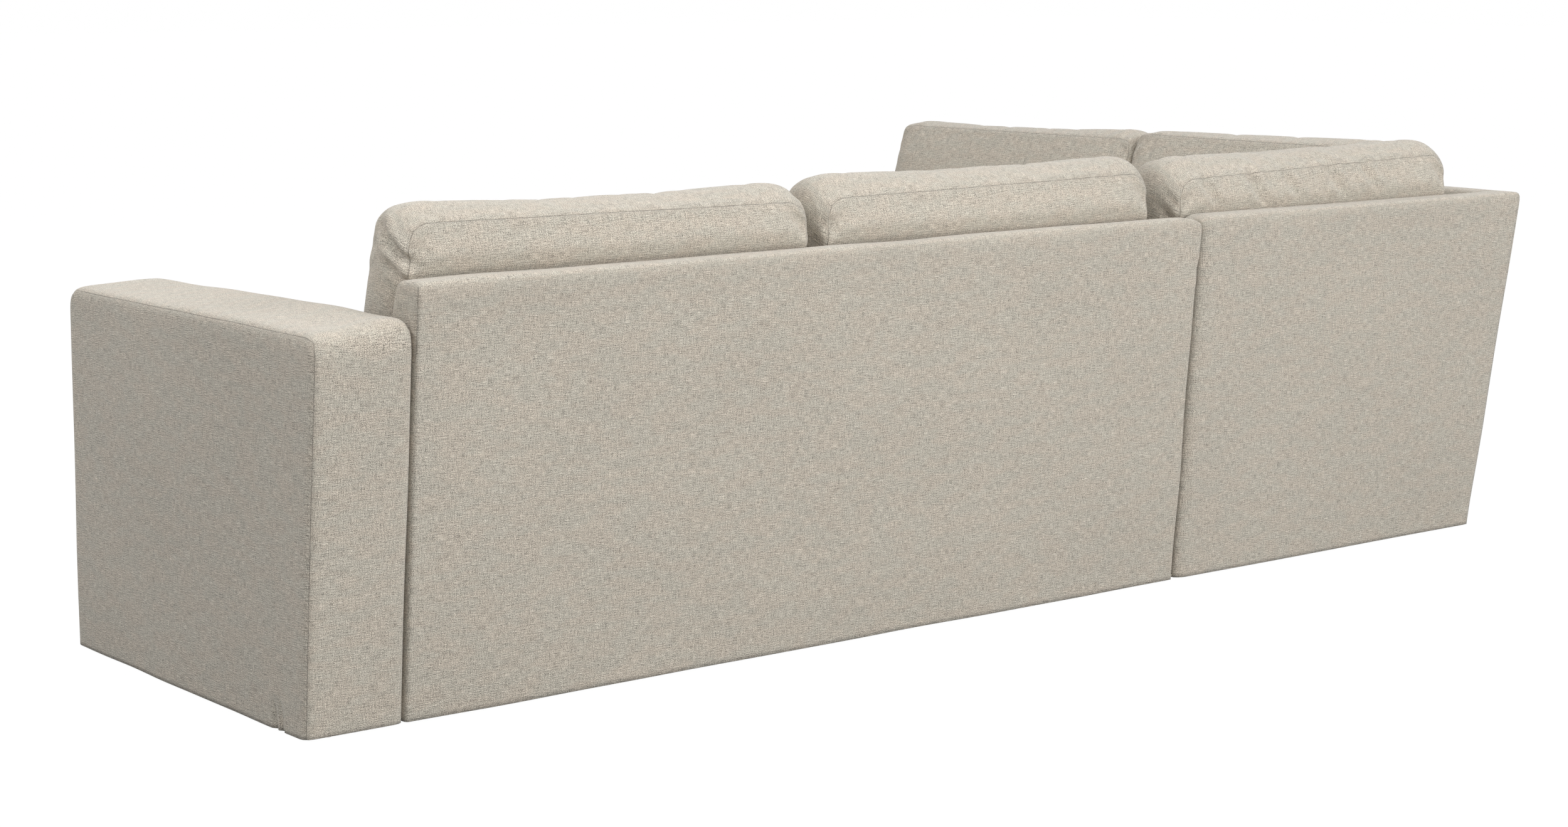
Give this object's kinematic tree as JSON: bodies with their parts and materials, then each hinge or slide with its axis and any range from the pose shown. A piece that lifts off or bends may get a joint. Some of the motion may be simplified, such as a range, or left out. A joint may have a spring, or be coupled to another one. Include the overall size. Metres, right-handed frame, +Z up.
{
  "type": "sectional sofa with chaise",
  "caption": "Corner sectional sofa: a one-arm sofa unit hooked to a corner unit whose seat runs on as a chaise beside a side back, with loose seat and back cushions.",
  "frame": {"origin": "on the floor, under the middle of the whole sofa's box", "axes": "+Z up; the sofa faces -Y; the arm is at +X, and the side back and chaise are at -X"},
  "size_m": [2.9555, 2.3825, 0.8397],
  "materials": {
    "fabric": "matt heathered greige linen-look upholstery weave",
    "foam": "cream polyurethane foam, matt, inside the covers",
    "timber": "planed softwood, unfinished",
    "fibreboard": "brown fibreboard, unfinished",
    "webbing": "dark elastic webbing",
    "deck_cloth": "plain platform cloth over wadding",
    "dust_cloth": "black non-woven cloth",
    "steel": "plain zinc-plated strip",
    "glide_plastic": "black moulded plastic"
  },
  "bodies": {
    "sofa_unit": {"arm_cover": "fabric", "arm_top_pad": "foam", "arm_top_board": "timber", "arm_front_board": "timber", "arm_rear_board": "timber", "arm_outer_panel": "fibreboard", "sofa_back_cover": "fabric", "sofa_back_pad": "foam", "sofa_back_top_rail": "timber", "sofa_back_arm_post": "timber", "sofa_back_middle_post": "timber", "sofa_back_joint_post": "timber", "sofa_front_rail": "timber", "sofa_rear_rail": "timber", "sofa_arm_side_rail": "timber", "sofa_joint_side_rail": "timber", "sofa_centre_rail": "timber", "sofa_seat_webbing": "webbing", "sofa_deck_pad": "deck_cloth", "sofa_dust_cover": "dust_cloth", "sofa_front_border_cover": "fabric", "sofa_joint_side_cover": "fabric", "sofa_glide_arm_rear": "glide_plastic", "sofa_glide_arm_front": "glide_plastic", "sofa_glide_joint_rear": "glide_plastic", "sofa_glide_joint_front": "glide_plastic", "sofa_connector": "steel"},
    "chaise_unit": {"corner_back_cover": "fabric", "corner_back_pad": "foam", "corner_back_top_rail": "timber", "corner_back_joint_post": "timber", "side_back_cover": "fabric", "side_back_pad": "foam", "side_back_top_rail": "timber", "side_back_corner_post": "timber", "side_back_middle_post": "timber", "side_back_front_post": "timber", "chaise_rear_rail": "timber", "chaise_joint_side_rail": "timber", "chaise_outer_rail": "timber", "chaise_front_rail": "timber", "chaise_seat_webbing": "webbing", "chaise_deck_pad": "deck_cloth", "chaise_dust_cover": "dust_cloth", "chaise_joint_side_cover": "fabric", "chaise_front_border_cover": "fabric", "chaise_outer_border_cover": "fabric", "chaise_glide_joint_rear": "glide_plastic", "chaise_glide_joint_front": "glide_plastic", "chaise_glide_outer_rear": "glide_plastic", "chaise_glide_outer_front": "glide_plastic", "chaise_connector": "steel"},
    "sofa_seat_cushion_1": {"sofa_seat_cushion_1": "fabric"},
    "sofa_seat_cushion_2": {"sofa_seat_cushion_2": "fabric"},
    "chaise_seat_cushion": {"chaise_seat_cushion": "fabric"},
    "sofa_back_cushion_1": {"sofa_back_cushion_1": "fabric"},
    "sofa_back_cushion_2": {"sofa_back_cushion_2": "fabric"},
    "corner_back_cushion": {"corner_back_cushion": "fabric"},
    "side_back_cushion_1": {"side_back_cushion_1": "fabric"},
    "side_back_cushion_2": {"side_back_cushion_2": "fabric"}
  },
  "joints": [
    {"name": "chaise_unit_lift", "type": "slide", "parent": "sofa_unit", "child": "chaise_unit", "axis": [0, 0, 1], "range_m": [0, 0.06]},
    {"name": "sofa_seat_cushion_1_slide", "type": "slide", "parent": "sofa_unit", "child": "sofa_seat_cushion_1", "axis": [0, -1, 0], "range_m": [0, 0.6]},
    {"name": "sofa_seat_cushion_2_slide", "type": "slide", "parent": "sofa_unit", "child": "sofa_seat_cushion_2", "axis": [0, -1, 0], "range_m": [0, 0.6]},
    {"name": "chaise_seat_cushion_slide", "type": "slide", "parent": "chaise_unit", "child": "chaise_seat_cushion", "axis": [0, -1, 0], "range_m": [0, 0.6]},
    {"name": "sofa_back_cushion_1_lift", "type": "slide", "parent": "sofa_unit", "child": "sofa_back_cushion_1", "axis": [0, 0.2588, 0.9659], "range_m": [0, 0.45]},
    {"name": "sofa_back_cushion_2_lift", "type": "slide", "parent": "sofa_unit", "child": "sofa_back_cushion_2", "axis": [0, 0.2588, 0.9659], "range_m": [0, 0.45]},
    {"name": "corner_back_cushion_lift", "type": "slide", "parent": "chaise_unit", "child": "corner_back_cushion", "axis": [0, 0.2588, 0.9659], "range_m": [0, 0.45]},
    {"name": "side_back_cushion_1_lift", "type": "slide", "parent": "chaise_unit", "child": "side_back_cushion_1", "axis": [-0.2588, 0, 0.9659], "range_m": [0, 0.45]},
    {"name": "side_back_cushion_2_lift", "type": "slide", "parent": "chaise_unit", "child": "side_back_cushion_2", "axis": [-0.2588, 0, 0.9659], "range_m": [0, 0.45]}
  ]
}
